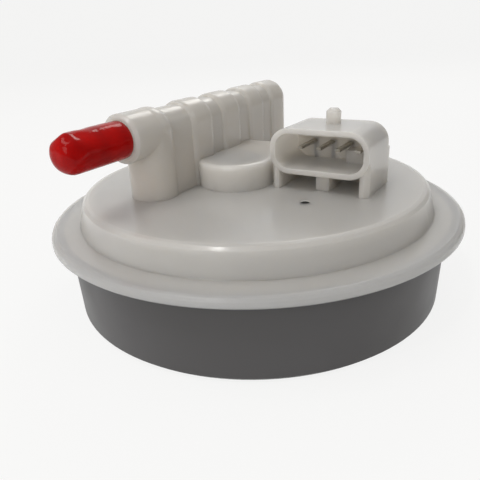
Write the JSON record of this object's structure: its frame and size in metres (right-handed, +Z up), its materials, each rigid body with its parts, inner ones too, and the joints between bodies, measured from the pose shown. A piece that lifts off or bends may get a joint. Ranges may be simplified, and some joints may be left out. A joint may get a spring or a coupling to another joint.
{
  "type": "fuel pump module",
  "caption": "In-tank fuel pump module: round white flange with ribbed outlet manifold, capped outlet pipe and electrical socket, on a short grey reservoir cup holding the pump.",
  "frame": {"origin": "on the flange's axis, at the underside of its lip, where it seats on the tank", "axes": "+Z up out of the tank along the flange's axis; the outlet pipe and the electrical socket point to -Y"},
  "size_m": [0.13, 0.13, 0.0609],
  "materials": {
    "natural_acetal": "satin",
    "grey_polymer": "satin",
    "tinned_brass": "satin",
    "brass": "satin",
    "black_rubber": "matt",
    "plated_steel": "satin",
    "spring_steel": "satin",
    "black_polymer": "matt",
    "bronze": "satin",
    "ferrite": "matt",
    "carbon": "matt",
    "strainer_cloth": "matt",
    "red_insulation": "satin",
    "black_insulation": "satin",
    "red_vinyl": "glossy",
    "core_steel": "satin",
    "copper_wire": "satin",
    "copper": "satin",
    "float_foam": "matt"
  },
  "bodies": {
    "module": {"flange": "natural_acetal", "reservoir_cup": "grey_polymer", "connector_terminals": "tinned_brass", "passage_plugs": "brass", "terminal_seal": "black_rubber", "tank_gasket": "black_rubber", "regulator_body": "plated_steel", "regulator_seals": "black_rubber", "regulator_spring_seat": "plated_steel", "regulator_spring": "spring_steel", "regulator_clip": "spring_steel", "pump_shell": "plated_steel", "inlet_cover": "black_polymer", "pump_plate": "black_polymer", "inlet_bearing": "bronze", "outlet_bearing": "bronze", "motor_magnets": "ferrite", "outlet_cover": "black_polymer", "rear_brush": "carbon", "front_brush": "carbon", "rear_brush_spring": "spring_steel", "front_brush_spring": "spring_steel", "pump_terminals": "tinned_brass", "check_retainer": "black_polymer", "check_spring": "spring_steel", "pump_cradle": "black_polymer", "pump_cushions": "black_rubber", "outlet_hose": "black_polymer", "hose_clamps": "spring_steel", "strainer_bag": "strainer_cloth", "strainer_elbow": "black_polymer", "float_stem": "natural_acetal", "float_clip": "spring_steel", "fill_valve_nut": "plated_steel", "pump_leads": "red_insulation", "switch_leads": "black_insulation"},
    "outlet_cap": {"outlet_cap": "red_vinyl"},
    "rotor": {"armature_shaft": "plated_steel", "armature_core": "core_steel", "armature_windings": "copper_wire", "commutator": "copper", "impeller": "black_polymer"},
    "check_valve": {"check_valve": "black_rubber"},
    "regulator_valve": {"regulator_valve": "plated_steel"},
    "level_float": {"level_float": "float_foam"},
    "fill_valve": {"fill_valve": "black_rubber"}
  },
  "joints": [
    {"name": "cap_pull", "type": "slide", "parent": "module", "child": "outlet_cap", "axis": [0, -1, 0], "range_m": [0, 0.03]},
    {"name": "rotor_spin", "type": "hinge", "parent": "module", "child": "rotor", "pos_m": [0, -0.027, -0.0066], "axis": [1, 0, 0], "continuous": true},
    {"name": "check_valve_lift", "type": "slide", "parent": "module", "child": "check_valve", "axis": [-1, 0, 0], "range_m": [0, 0.0018], "stiffness_N_per_m": 60, "springref_m": -0.002, "deforming": ["check_spring"]},
    {"name": "regulator_valve_lift", "type": "slide", "parent": "module", "child": "regulator_valve", "axis": [0, 0, -1], "range_m": [0, 0.0012], "stiffness_N_per_m": 900, "springref_m": -0.002, "deforming": ["regulator_spring"]},
    {"name": "float_rise", "type": "slide", "parent": "module", "child": "level_float", "axis": [0, 0, 1], "range_m": [0, 0.013]},
    {"name": "fill_valve_lift", "type": "slide", "parent": "module", "child": "fill_valve", "axis": [0, 0, 1], "range_m": [0, 0.0016]}
  ]
}
